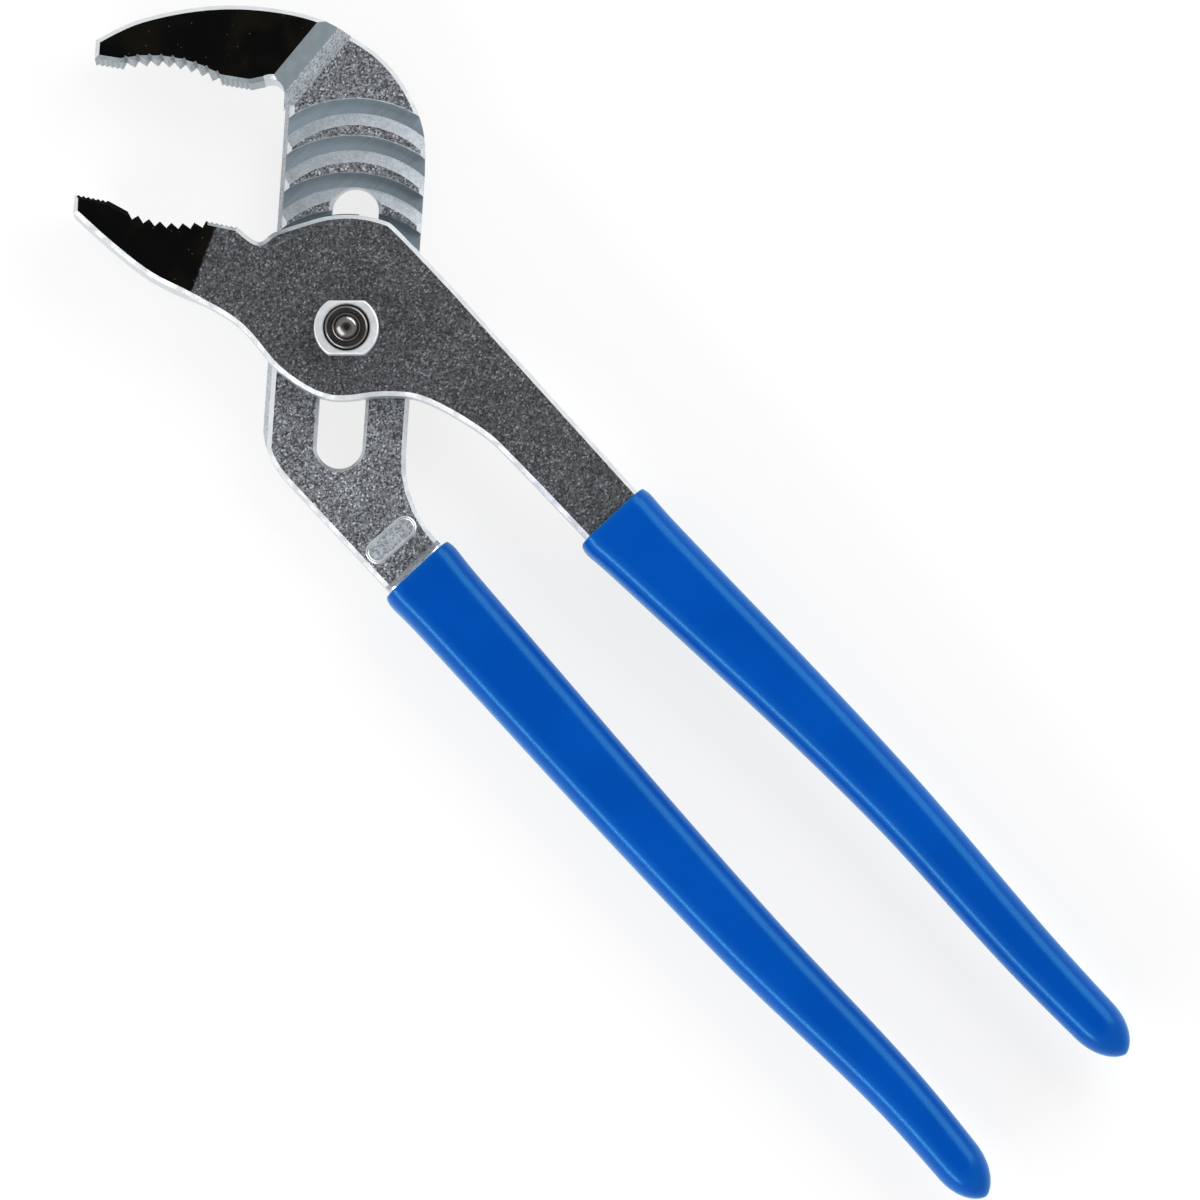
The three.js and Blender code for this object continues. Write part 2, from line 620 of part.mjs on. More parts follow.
// Pivot, about its own axis
function pivotBolt() {
  const endZ = nutZ + NUT_THICKNESS + BOLT_END_PROUD;
  const headRadius = boreRadius + HEAD_OVERLAP;
  return revolve([
    [0, 0],
    [headRadius - HEAD_EDGE, 0],
    [headRadius, HEAD_EDGE],
    [headRadius, HEAD_THICKNESS],
    [BOLT_RADIUS, HEAD_THICKNESS],
    [BOLT_RADIUS, endZ - BOLT_END_CHAMFER],
    [BOLT_RADIUS - BOLT_END_CHAMFER, endZ],
    [DIMPLE_RADIUS, endZ],
    [0, endZ - DIMPLE_DEPTH],
  ], SMALL_ROUND_STEPS);
}

function pivotNut() {
  const radius = BOLT_RADIUS + NUT_WALL;
  const flat = BOLT_RADIUS + NUT_FLAT_WALL;
  const corner = Math.asin(Math.min(1, flat / radius));
  const shape = new THREE.Shape();
  shape.absarc(0, 0, radius, -corner, corner, false);
  shape.absarc(0, 0, radius, Math.PI - corner, Math.PI + corner, false);
  shape.closePath();
  const blank = new THREE.ExtrudeGeometry(shape, {
    depth: NUT_THICKNESS - 2 * NUT_EDGE,
    bevelThickness: NUT_EDGE,
    bevelSize: NUT_EDGE,
    bevelOffset: -NUT_EDGE,
    bevelSegments: 1,
    curveSegments: SMALL_ROUND_STEPS / 4,
  });
  return solid(blank.translate(0, 0, nutZ + NUT_EDGE)).subtract(bore());
}

// Assembly: the neck's frame is turned so that the handles run along -Y
function piece(name, body, look) {
  const mesh = new THREE.Mesh(geometryOf(body), new THREE.MeshStandardMaterial(look));
  mesh.name = name;
  return mesh;
}

const pliers = new THREE.Group();
pliers.rotation.z = radians(-HANDLE_BEND);
pliers.add(piece('slotted_half', slottedHalf(), FORGED));
pliers.add(piece('slotted_half_grip', grip(slottedHandle), BLUE_VINYL));

const pivot = new THREE.Group();
const nut = piece('pivot_nut', pivotNut(), ZINC);
nut.rotation.z = radians(NUT_TURN);
pivot.add(piece('pivot_bolt', pivotBolt(), BOLT_STEEL));
pivot.add(nut);

const lowerHalf = new THREE.Group();
lowerHalf.add(piece('tongue_half', tongueHalf(), FORGED));
lowerHalf.add(piece('tongue_half_grip', grip(tongueHandle), BLUE_VINYL));
pivot.add(lowerHalf);
pliers.add(pivot);

export default pliers;
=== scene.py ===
import math

import bmesh
import bpy
from mathutils import Matrix, Vector


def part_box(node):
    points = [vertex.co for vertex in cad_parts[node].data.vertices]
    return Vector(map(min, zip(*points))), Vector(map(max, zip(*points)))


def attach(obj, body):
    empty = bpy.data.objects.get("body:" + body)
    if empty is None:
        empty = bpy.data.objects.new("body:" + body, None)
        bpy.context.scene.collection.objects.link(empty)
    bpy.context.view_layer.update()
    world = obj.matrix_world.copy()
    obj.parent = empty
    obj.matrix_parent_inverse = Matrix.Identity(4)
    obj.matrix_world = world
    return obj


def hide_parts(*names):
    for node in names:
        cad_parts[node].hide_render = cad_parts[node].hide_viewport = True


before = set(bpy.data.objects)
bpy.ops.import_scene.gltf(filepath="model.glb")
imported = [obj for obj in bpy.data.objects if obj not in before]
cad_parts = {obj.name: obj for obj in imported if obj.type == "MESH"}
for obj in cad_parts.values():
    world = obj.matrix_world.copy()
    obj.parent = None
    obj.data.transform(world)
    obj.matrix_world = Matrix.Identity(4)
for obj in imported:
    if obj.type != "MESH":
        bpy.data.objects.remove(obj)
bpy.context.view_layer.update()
scene = bpy.context.scene
mm = 0.001
weld = 0.002             # points nearer than this, in mm, are one
closed = 1e-5            # size in mm of a row that closes a loft
noiseLow, noiseHigh = 0.3, 0.7   # most of a noise lies between these
print("frame loaded:", ", ".join(sorted(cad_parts)))

# levels of the lapped plates, read off the frame
plates = {
    "rear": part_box("slotted_half")[0].z / mm,
    "front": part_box("tongue_half")[1].z / mm,
    "thickness": 6.0,
    "grooveDepth": 1.8,
    "headTurn": 46.84,  # degrees from the handles to the line of the slot
}
plates["neck"] = plates["rear"] + plates["thickness"]
plates["grooveFloor"] = plates["neck"] - plates["grooveDepth"]


# a point given along the neck (x across, y along the slot, z up, in mm), in the row frame
def onNeck(x, y, z=0.0):
    turn = math.radians(-plates["headTurn"])
    return Matrix.Rotation(turn, 3, "Z") @ Vector((x, y, z)) * mm


# a socket that can be added, multiplied and fed into other nodes
class Wire:
    def __init__(self, tree, socket=None):
        self.tree = tree
        self.socket = socket

    def node(self, kind, settings=None, values=None, out=0):
        made = self.tree.nodes.new(kind)
        for name, value in (settings or {}).items():
            if name == "stops":
                self.setStops(made.color_ramp, value)
            else:
                setattr(made, name, value)
        for name, value in (values or {}).items():
            self.feed(made.inputs[name], value)
        return Wire(self.tree, made.outputs[out]) if made.outputs else made

    def feed(self, socket, value):
        if isinstance(value, Wire):
            self.tree.links.new(value.socket, socket)
        else:
            socket.default_value = value

    def setStops(self, ramp, stops):
        while len(ramp.elements) > 1:
            ramp.elements.remove(ramp.elements[-1])
        for index, (place, colour) in enumerate(stops):
            element = ramp.elements[0] if index == 0 else ramp.elements.new(place)
            element.position = place
            element.color = (*colour, 1)

    def math(self, operation, *terms):
        return self.node("ShaderNodeMath", {"operation": operation}, dict(enumerate(terms)))

    def vector(self, operation, *terms, out=0):
        return self.node("ShaderNodeVectorMath", {"operation": operation}, dict(enumerate(terms)), out)

    def scaled(self, factor):
        return self.node("ShaderNodeVectorMath", {"operation": "SCALE"}, {0: self, "Scale": factor})

    def __add__(self, other):
        return self.math("ADD", self, other)

    def __radd__(self, other):
        return self.math("ADD", other, self)

    def __sub__(self, other):
        return self.math("SUBTRACT", self, other)

    def __rsub__(self, other):
        return self.math("SUBTRACT", other, self)

    def __mul__(self, other):
        return self.math("MULTIPLY", self, other)

    def __rmul__(self, other):
        return self.math("MULTIPLY", other, self)

    def __truediv__(self, other):
        return self.math("DIVIDE", self, other)

    def fade(self, low, high, start=0.0, end=1.0):
        values = {"Value": self, "From Min": low, "From Max": high, "To Min": start, "To Max": end}
        return self.node("ShaderNodeMapRange", {"interpolation_type": "SMOOTHSTEP"}, values)

    def ramp(self, stops):
        return self.node("ShaderNodeValToRGB", {"stops": stops}, {"Fac": self})

    def spread(self, low, high, tint=(1, 1, 1)):
        return self.ramp([(noiseLow, grey(low, tint)), (noiseHigh, grey(high, tint))])

    def between(self, low, high):
        return self.fade(noiseLow, noiseHigh, low, high)

    def blend(self, first, second):
        return self.node("ShaderNodeMix", {"data_type": "RGBA"}, {0: self, 6: first, 7: second}, out=2)


def grey(level, tint=(1, 1, 1)):
    return tuple(level * part for part in tint)


# a material, its tree's start and the object coordinates in millimetres
def newFinish(name):
    material = bpy.data.materials.new(name)
    material.use_nodes = True
    material.node_tree.nodes.clear()
    start = Wire(material.node_tree)
    place = start.node("ShaderNodeTexCoord", out="Object").scaled(1 / mm)
    return material, start, place


def finishWith(start, values, height=None, bumpStrength=0.3, bumpReach=0.05):
    if height is not None:
        bump = {"Strength": bumpStrength, "Distance": bumpReach * mm, "Height": height}
        values = {**values, "Normal": start.node("ShaderNodeBump", values=bump)}
    shader = start.node("ShaderNodeBsdfPrincipled", values=values)
    start.node("ShaderNodeOutputMaterial", values={"Surface": shader})


def noise(start, place, scale, detail=3.0):
    values = {"Vector": place, "Scale": scale, "Detail": detail}
    return start.node("ShaderNodeTexNoise", values=values)


# one random level for each blasted grain
def grains(start, place, scale):
    cells = start.node("ShaderNodeTexVoronoi", values={"Vector": place, "Scale": scale}, out="Color")
    return start.node("ShaderNodeSeparateColor", values={0: cells})


# grain levels are shares of the grains and how bright they are
blasted = {
    "grainsPerMm": 3.3,
    "darkTint": (1.03, 0.98, 1.0),
    "lightTint": (0.92, 0.99, 1.08),
    "tongueLevels": ((0.0, 0.014), (0.25, 0.044), (0.5, 0.074), (0.75, 0.112), (0.92, 0.17), (1.0, 0.33)),
    "neckLevels": ((0.0, 0.022), (0.25, 0.092), (0.5, 0.168), (0.75, 0.265), (0.92, 0.41), (1.0, 0.68)),
    "roughness": 0.5,
    "glint": 0.2,
    "metal": 0.3,
    "clouds": (0.86, 1.12),
    "cloudsPerMm": 0.16,
    "pitsPerMm": 2.2,
    "grainHeight": 0.5,
    "bump": (0.35, 0.08),          # strength, and reach in mm
    "wander": 0.5,                 # how far the polish line wanders, in mm
    "wandersPerMm": 1.2,
    "polishFade": (-0.25, 0.35),
}

polished = {
    # black is a painted dark reflection: the jaws' ground steel is given the near-black that it mirrors from
    # overhead
    "black": (0.0105, 0.0102, 0.0104),
    "brown": (0.021, 0.0195, 0.0125),
    "speck": (0.2, 0.19, 0.15),
    "roughness": 0.16,
    "metal": 0.75,
    "specksPerMm": 0.9,
    "speckSize": 0.14,
    "speckChosen": (0.6, 0.8),
    "bloomsPerMm": 0.09,
    "bloom": (0.42, 0.62),
    "wearPerMm": 0.4,
    "worn": (0.12, 0.2),           # least and most roughness
}


# near-black ground colour of a jaw, a painted dark reflection of its polished steel, with its brown bloom
# and tiny bright specks
def paintedReflectionJawColour(start, place):
    bloom = noise(start, place, polished["bloomsPerMm"]).fade(*polished["bloom"])
    ground = bloom.blend((*polished["black"], 1), (*polished["brown"], 1))
    values = {"Vector": place, "Scale": polished["specksPerMm"]}
    dots = start.node("ShaderNodeTexVoronoi", values=values, out="Distance")
    chosen = grains(start, place, polished["specksPerMm"]).fade(*polished["speckChosen"])
    size = polished["speckSize"]
    speck = dots.fade(size, size * 0.5) * chosen
    return speck.blend(ground, (*polished["speck"], 1))


def multiplied(start, first, second):
    settings = {"data_type": "RGBA", "blend_type": "MULTIPLY"}
    return start.node("ShaderNodeMix", settings, {0: 1.0, 6: first, 7: second}, out=2)


# blasted face of a forging. Past the polish line, a point and a direction across it, the jaw is ground
# smooth and painted near-black, a painted dark reflection
def blastedSteel(name, levels, polishLine=None):
    material, start, place = newFinish(name)
    grain = grains(start, place, blasted["grainsPerMm"])
    stops = []
    for at, level in levels:
        tint = blasted["darkTint"] if at < 0.5 else blasted["lightTint"]
        stops.append((at, grey(level, tint)))
    clouds = noise(start, place, blasted["cloudsPerMm"]).spread(*blasted["clouds"])
    colour = multiplied(start, grain.ramp(stops), clouds)
    roughness = blasted["roughness"] - blasted["glint"] * grain
    metal = blasted["metal"]
    height = noise(start, place, blasted["pitsPerMm"]) + blasted["grainHeight"] * grain
    if polishLine:
        point, across = polishLine
        wander = (noise(start, place, blasted["wandersPerMm"], 2.0) - 0.5) * blasted["wander"]
        offset = place.vector("SUBTRACT", place, tuple(point))
        beyond = place.vector("DOT_PRODUCT", offset, tuple(across), out="Value")
        ground = (beyond + wander).fade(*blasted["polishFade"])
        colour = ground.blend(colour, paintedReflectionJawColour(start, place))
        roughness = roughness + ground * (polished["roughness"] - roughness)
        metal = metal + ground * (polished["metal"] - metal)
        height = height * (1 - ground)
    values = {"Base Color": colour, "Roughness": roughness, "Metallic": metal}
    finishWith(start, values, height, *blasted["bump"])
    return material


def polishedJaw(name):
    material, start, place = newFinish(name)
    values = {"Base Color": paintedReflectionJawColour(start, place), "Metallic": polished["metal"]}
    values["Roughness"] = noise(start, place, polished["wearPerMm"]).between(*polished["worn"])
    finishWith(start, values)
    return material


bright = {
    "softPerMm": 0.5,
    "tones": (0.9, 1.06),
    "pits": (0.35, 0.4),           # shares of the speckle for middle and light grains
    "pitMiddle": 0.4,
    "rougher": (-0.05, 0.07),
    "bump": 0.08,
    "speckledBump": 0.3,
    "bumpReach": 0.06,
}


# bare bright steel: the chamfers and side walls of the forgings. With a speckle it also gives the pale
# blasted pad, and the slopes and groove ramps painted lighter as if lit
def brightSteel(name, colour, roughness, speckle=0.0, metal=0.8):
    material, start, place = newFinish(name)
    soft = noise(start, place, bright["softPerMm"])
    tone = soft.spread(*bright["tones"], colour)
    height, strength = soft, bright["bump"]
    if speckle:
        grain = grains(start, place, blasted["grainsPerMm"])
        less, more = bright["pits"]
        dark, middle, light = 1 - speckle, 1 - less * speckle, 1 + more * speckle
        pits = grain.ramp([(0.0, grey(dark)), (bright["pitMiddle"], grey(middle)), (1.0, grey(light))])
        tone = multiplied(start, tone, pits)
        height = noise(start, place, blasted["pitsPerMm"]) + blasted["grainHeight"] * grain
        strength = bright["speckledBump"]
    rough = soft.between(*(roughness + change for change in bright["rougher"]))
    values = {"Base Color": tone, "Roughness": rough, "Metallic": metal}
    finishWith(start, values, height, strength, bright["bumpReach"])
    return material


machined = {
    "stretch": (0.15, 6.0, 1.0),   # cutter lines per mm along, across and up
    "tones": (0.9, 1.08),
    "roughness": (0.3, 0.42),
    "metal": 0.3,
    "bump": (0.1, 0.02),
}


# ground groove floors, with faint cutter lines across the neck
def machinedSteel(name, colour):
    material, start, place = newFinish(name)
    acrossNeck = start.node("ShaderNodeMapping", values={
        "Vector": place,
        "Rotation": (0, 0, math.radians(plates["headTurn"])),
        "Scale": machined["stretch"],
    })
    lines = noise(start, acrossNeck, 1.0, 2.0)
    rough = lines.between(*machined["roughness"])
    values = {"Base Color": lines.spread(*machined["tones"], colour), "Roughness": rough}
    values["Metallic"] = machined["metal"]
    finishWith(start, values, lines, *machined["bump"])
    return material


turned = {
    "wearPerMm": 0.8,
    "wear": 0.5,
    "tones": (0.75, 1.2),
    "rougher": (-0.04, 0.05),
    "bump": (0.1, 0.02),
}


# turned faces: fine rings round the pivot axis, with a sheen drawn out across them
def turnedSteel(name, colour, roughness, ringsPerMm, depth, drawn, metal):
    material, start, place = newFinish(name)
    flat = place.vector("MULTIPLY", place, (1, 1, 0))
    radius = flat.vector("LENGTH", flat, out="Value")
    rings = start.math("SINE", radius * (ringsPerMm * 2 * math.pi))
    wear = noise(start, place, turned["wearPerMm"])
    level = 0.5 + (wear - 0.5) * turned["wear"] + rings * depth
    low, high = turned["tones"]
    tone = level.ramp([(0.0, grey(low, colour)), (1.0, grey(high, colour))])
    rough = wear.between(*(roughness + change for change in turned["rougher"]))
    values = {"Base Color": tone, "Roughness": rough, "Metallic": metal, "Anisotropic": drawn}
    finishWith(start, values, rings, *turned["bump"])
    return material


vinyl = {
    "blue": (0.0005, 0.063, 0.38),
    "deep": (0.0004, 0.057, 0.35),
    "roughness": 0.24,
    "bend": 1.45,                      # index of refraction
    "gleam": (0.14, 0.72, 1.0, 1),     # tint of the highlights
    "haze": 0.9,                       # soft light at the turned-away sides
    "hazeTint": (0.02, 0.62, 1.0, 1),
    "hazeRoughness": 0.4,
    "cloudsPerMm": 0.05,
    "clouds": (0.35, 0.65),
    "wearPerMm": 1.2,
    "rougher": (-0.02, 0.03),
}


def dippedVinyl(name):
    material, start, place = newFinish(name)
    cloud = noise(start, place, vinyl["cloudsPerMm"], 2.0).fade(*vinyl["clouds"])
    colour = cloud.blend((*vinyl["deep"], 1), (*vinyl["blue"], 1))
    wear = noise(start, place, vinyl["wearPerMm"])
    rough = wear.between(*(vinyl["roughness"] + change for change in vinyl["rougher"]))
    values = {"Base Color": colour, "Roughness": rough, "Specular Tint": vinyl["gleam"]}
    values |= {"Sheen Weight": vinyl["haze"], "Sheen Tint": vinyl["hazeTint"]}
    values |= {"Sheen Roughness": vinyl["hazeRoughness"], "IOR": vinyl["bend"]}
    finishWith(start, values)
    return material


# line between the blasted face and the ground jaw of the tongue half, and the direction towards its tip
lowerPolishLine = (onNeck(-27.3, 10.65) / mm, onNeck(-0.959, 0.284).normalized())

finishes = {
    "tongueFace": blastedSteel("blastedTongueHalf", blasted["tongueLevels"], lowerPolishLine),
    "neckFace": blastedSteel("blastedSlottedHalf", blasted["neckLevels"]),
    "jaw": polishedJaw("polishedJawPaintedDarkReflection"),
    "edge": brightSteel("brightEdge", (0.74, 0.77, 0.79), 0.28),
    "side": brightSteel("satinSide", (0.58, 0.62, 0.65), 0.34),
    # the pale speckle is lighter than the blasted faces: on the raised pad that is its own tone, on the jaw
    # steps and the handle's step it is painted light for slopes turned to the light
    "paleSpeckleAndLitSlope": brightSteel("paleBlastedAndPaintedLight", (0.46, 0.5, 0.54), 0.42, 0.55, 0.4),
    # the groove ramps are painted lighter than the groove floors: painted light for walls turned up to the
    # light, over a real blast speckle
    "ramp": brightSteel("grooveRampPaintedLit", (0.47, 0.51, 0.55), 0.4, 0.22, 0.4),
    "bevel": brightSteel("stepBevel", (0.22, 0.265, 0.29), 0.34, 0.0, 0.4),
    "floor": machinedSteel("grooveFloor", (0.25, 0.305, 0.35)),
    "nut": turnedSteel("zincNut", (0.76, 0.785, 0.81), 0.32, 5.0, 0.04, 0.75, 0.4),
    "bolt": turnedSteel("turnedBolt", (0.2, 0.195, 0.19), 0.2, 1.7, 0.15, 0.0, 0.95),
    "vinyl": dippedVinyl("blueDippedVinyl"),
}
print("finishes made:", len(finishes))


def newPiece(name, mesh, body, nodes):
    piece = bpy.data.objects.new(name, mesh)
    scene.collection.objects.link(piece)
    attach(piece, body)
    if nodes:
        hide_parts(*nodes)
    return piece


forging = {
    "flat": 0.95,          # least upright share of a flat face's normal
    "sharp": 22.0,         # degrees
    "upperStep": (0.813, -0.582),
    "lowerStep": (0.862, -0.507),
    "flatAngle": 0.4,      # degrees within which faces are joined
    "tilted": 0.05,        # least sideways share of a normal that has a direction
    "jawRise": 3.0,        # the upper jaw's face is at least this far above the neck
    "stepRise": 0.2,
    "floorNear": 0.4,
    "grooveSlack": 0.1,
    "toothTilt": 0.3,
    "stepTilt": 0.3,
    "stepMatch": 0.99,
    "bevelTilt": 0.7,      # flatter parts of a step are smooth
    "barStepTilt": (0.2, 0.6),
    "barStepMatch": 0.98,
    "rampTilt": (0.75, 0.85),
    "mouthTilt": (0.15, 0.35),
    "mouthMatch": -0.9,
    "chamferTilt": 0.35,
    "lip": 0.16,           # width of the bright line along a groove
    "lipWall": 0.1,
    "lipNear": 0.01,
    "upperTeeth": -19.0,   # the upper jaw's toothed edge is past here, across the neck
    "lowerTeeth": -26.0,   # the lower jaw is ground black to its toothed edge past here
}


# which finish a face of a forging has, from the way it faces and its level
def finishOf(face, half):
    turn = Matrix.Rotation(math.radians(plates["headTurn"]), 3, "Z")
    facing = turn @ face.normal
    centre = turn @ face.calc_center_median() / mm
    level = centre.z
    flatShare = abs(facing.z)
    tilted = facing.xy.length > forging["tilted"]
    away = facing.xy.normalized() if tilted else Vector((0, 0))
    handleward = face.normal.xy.normalized() if tilted else Vector((0, 0))
    if flatShare > forging["flat"]:
        # a raised flat face: on the head the jaw with its painted dark reflection, on the handle the pale
        # speckle, painted light
        if half == "slotted" and level > plates["neck"] + forging["jawRise"]:
            return "jaw" if centre.y > 0 else "paleSpeckleAndLitSlope"
        nearFloor = abs(level - plates["grooveFloor"]) < forging["floorNear"]
        if half == "slotted" and nearFloor and facing.z > 0:
            return "floor"
        return "neckFace" if half == "slotted" else "tongueFace"
    if half == "slotted" and centre.x < forging["upperTeeth"] and facing.y < -forging["tilted"]:
        return "bevel"
    toothed = min(facing.y, facing.z) > forging["toothTilt"]
    if half == "tongue" and toothed and centre.x < forging["lowerTeeth"]:
        return "jaw"
    stepFacing = Vector(forging["upperStep"] if half == "slotted" else forging["lowerStep"])
    raised = level < plates["neck"]
    if half == "slotted":
        raised = level > plates["neck"] + forging["stepRise"]
    # the steeper parts of a jaw step get the pale speckle: painted light for a slope turned to the light
    if raised and flatShare > forging["stepTilt"] and away.dot(stepFacing) > forging["stepMatch"]:
        return "bevel" if flatShare > forging["bevelTilt"] else "paleSpeckleAndLitSlope"

    def tiltedBy(name):
        low, high = forging[name]
        return low < flatShare < high

    # the handle's step up gets the pale speckle: painted light for a slope turned to the light
    if tiltedBy("barStepTilt") and handleward.y > forging["barStepMatch"]:
        return "paleSpeckleAndLitSlope"
    deepest = plates["grooveFloor"] - forging["grooveSlack"]
    inGroove = half == "slotted" and deepest < level < plates["neck"]
    # ramps facing up in a groove get the lighter ramp colour: painted light
    if inGroove and tiltedBy("rampTilt") and facing.z > 0:
        return "ramp"
    # the throat side gets the pale speckle, lighter than the blasted faces
    if tiltedBy("mouthTilt") and away.x < forging["mouthMatch"]:
        return "paleSpeckleAndLitSlope"
    return "edge" if flatShare > forging["chamferTilt"] else "side"


# the edge between a land of the neck and the wall of the groove beside it
def isGrooveLip(edge, names):
    if not edge.is_manifold:
        return False
    kinds = {names[face.material_index] for face in edge.link_faces}
    middle = (edge.verts[0].co + edge.verts[1].co) / 2 / mm
    walls = [face for face in edge.link_faces if abs(face.normal.z) < forging["lipWall"]]
    atTop = abs(middle.z - plates["neck"]) < forging["lipNear"]
    return kinds == {"neckFace", "side"} and atTop and len(walls) == 1


# a forging with its loose triangles merged, flat faces joined and each face given its finish
def forgedHalf(name, node, half, body):
    names = ["tongueFace", "neckFace", "jaw", "edge", "side", "paleSpeckleAndLitSlope", "ramp", "bevel", "floor"]
    mesh = bpy.data.meshes.new(name)
    work = bmesh.new()
    work.from_mesh(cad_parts[node].data)
    bmesh.ops.remove_doubles(work, verts=work.verts, dist=weld * mm)
    joinWithin = math.radians(forging["flatAngle"])
    bmesh.ops.dissolve_limit(work, angle_limit=joinWithin, verts=work.verts, edges=work.edges)
    work.normal_update()
    for face in work.faces:
        face.smooth = True
        face.material_index = names.index(finishOf(face, half))
    if half == "slotted":
        lips = [edge for edge in work.edges if isGrooveLip(edge, names)]
        bmesh.ops.bevel(work, geom=lips, offset=forging["lip"] * mm, offset_type="OFFSET", segments=1,
                        profile=0.5, affect="EDGES", clamp_overlap=True, material=names.index("edge"))
        print("groove lips broken:", len(lips))
    for edge in work.edges:
        edge.smooth = edge.is_manifold and edge.calc_face_angle() < math.radians(forging["sharp"])
    work.to_mesh(mesh)
    work.free()
    for finish in names:
        mesh.materials.append(finishes[finish])
    return newPiece(name, mesh, body, [node])


forgedHalf("slotted_forging", "slotted_half", "slotted", "slotted_body")
forgedHalf("tongue_forging", "tongue_half", "tongue", "tongue_body")
print("forgings dressed")


# rows of rounded sections along a path. The path's points carry half a width, half a thickness and a corner
def ringLoftTree():
    tree = bpy.data.node_groups.new("ringLoft", "GeometryNodeTree")
    kinds = {
        "Path": "NodeSocketGeometry",
        "Rows": "NodeSocketInt",
        "Corner steps": "NodeSocketInt",
        "Across": "NodeSocketVector",
        "Up": "NodeSocketVector",
        "Finish": "NodeSocketMaterial",
    }
    sockets = {}
    for name, kind in kinds.items():
        sockets[name] = tree.interface.new_socket(name, in_out="INPUT", socket_type=kind).identifier
    tree.interface.new_socket("Loft", in_out="OUTPUT", socket_type="NodeSocketGeometry")
    start = Wire(tree)
    outputs = start.node("NodeGroupInput").socket.node.outputs
    given = {name: Wire(tree, outputs[name]) for name in kinds}
    perCorner = given["Corner steps"] + 1
    around = perCorner * 4
    grid = start.node("GeometryNodeMeshGrid", values={
        "Size X": 1.0,
        "Size Y": 1.0,
        "Vertices X": given["Rows"],
        "Vertices Y": around + 1,
    })
    position = start.node("GeometryNodeInputPosition")
    parts = start.node("ShaderNodeSeparateXYZ", values={0: position}).socket.node.outputs
    row = start.math("ROUND", (Wire(tree, parts[0]) + 0.5) * (given["Rows"] - 1))
    turn = start.math("ROUND", (Wire(tree, parts[1]) + 0.5) * around)
    turn = start.math("MODULO", turn, around)
    corner = start.math("FLOOR", (turn + 0.5) / perCorner)
    angle = (corner + (turn - corner * perCorner) / given["Corner steps"]) * (math.pi / 2)
    middle = corner * (math.pi / 2) + math.pi / 4

    def sampled(name):
        value = start.node("GeometryNodeInputNamedAttribute", {"data_type": "FLOAT"}, {"Name": name})
        values = {"Geometry": given["Path"], "Value": value, "Index": row}
        return start.node("GeometryNodeSampleIndex", {"data_type": "FLOAT", "domain": "POINT"}, values)

    values = {"Geometry": given["Path"], "Value": start.node("GeometryNodeInputPosition"), "Index": row}
    centre = start.node("GeometryNodeSampleIndex", {"data_type": "FLOAT_VECTOR", "domain": "POINT"}, values)
    radius = sampled("corner")
    side = start.math("SIGN", start.math("COSINE", middle))
    level = start.math("SIGN", start.math("SINE", middle))
    acrossBy = side * (sampled("halfWide") - radius) + radius * start.math("COSINE", angle)
    upBy = level * (sampled("halfThick") - radius) + radius * start.math("SINE", angle)
    place = centre.vector("ADD", centre, given["Across"].scaled(acrossBy))
    place = centre.vector("ADD", place, given["Up"].scaled(upBy))
    loft = start.node("GeometryNodeSetPosition", values={"Geometry": grid, "Position": place})
    loft = start.node("GeometryNodeMergeByDistance", values={"Geometry": loft, "Distance": weld * mm})
    loft = start.node("GeometryNodeSetShadeSmooth", values={"Geometry": loft})
    loft = start.node("GeometryNodeRealizeInstances", values={"Geometry": loft})
    loft = start.node("GeometryNodeSetMaterial", values={"Geometry": loft, "Material": given["Finish"]})
    start.node("NodeGroupOutput", values={"Loft": loft})
    return tree, sockets


# runs a tree on a path mesh and gives back a plain mesh with its faces outwards
def treeToMesh(name, path, tree, sockets, values, sharp):
    source = bpy.data.objects.new(name + "Path", path)
    scene.collection.objects.link(source)
    modifier = source.modifiers.new(name, "NODES")
    modifier.node_group = tree
    for key, value in values.items():
        modifier[sockets[key]] = value
    graph = bpy.context.evaluated_depsgraph_get()
    mesh = bpy.data.meshes.new_from_object(source.evaluated_get(graph), depsgraph=graph)
    source.modifiers.remove(modifier)
    bpy.data.objects.remove(source)
    mesh.name = name
    work = bmesh.new()
    work.from_mesh(mesh)
    bmesh.ops.recalc_face_normals(work, faces=work.faces)
    for face in work.faces:
        face.smooth = True
    for edge in work.edges:
        edge.smooth = edge.is_manifold and edge.calc_face_angle() < math.radians(sharp)
    work.to_mesh(mesh)
    work.free()
    return mesh


# a polyline whose points carry the sizes of the sections there: (place, half width, half thickness, corner)
def sectionPath(name, rows):
    path = bpy.data.meshes.new(name)
    path.from_pydata([row[0] for row in rows], [(i, i + 1) for i in range(len(rows) - 1)], [])
    for index, attribute in ((1, "halfWide"), (2, "halfThick"), (3, "corner")):
        layer = path.attributes.new(attribute, "FLOAT", "POINT")
        layer.data.foreach_set("value", [row[index] for row in rows])
    return path


ringLoft, ringSockets = ringLoftTree()

sleeve = {
    "wall": 1.1,
    "gap": 0.3,
    "endWall": 3.0,
    "lipRadius": 0.55,
    "bead": 0.22,          # how far the rolled lip stands proud
    "beadReach": 1.5,
    "corner": 4.3,
    "barCorner": 2.2,
    "bow": 65.0,
    "waist": 24.0,
    "endLength": 8.5,
    "endPower": (2.2, 0.62),   # how full the rounded end is
    "barBlunt": 0.26,
    "endThickness": 6.4,
    "startThickness": 9.2,
    "fullest": 0.96,       # largest share of a half width or thickness for a corner
    "rows": 72,
    "rowSpread": 1.25,     # closer rows near the lip
    "beadPeak": 2.7,
    "lipSteps": 8,
    "endRows": 14,
    "cornerSteps": 12,
    "sharp": 60.0,
}

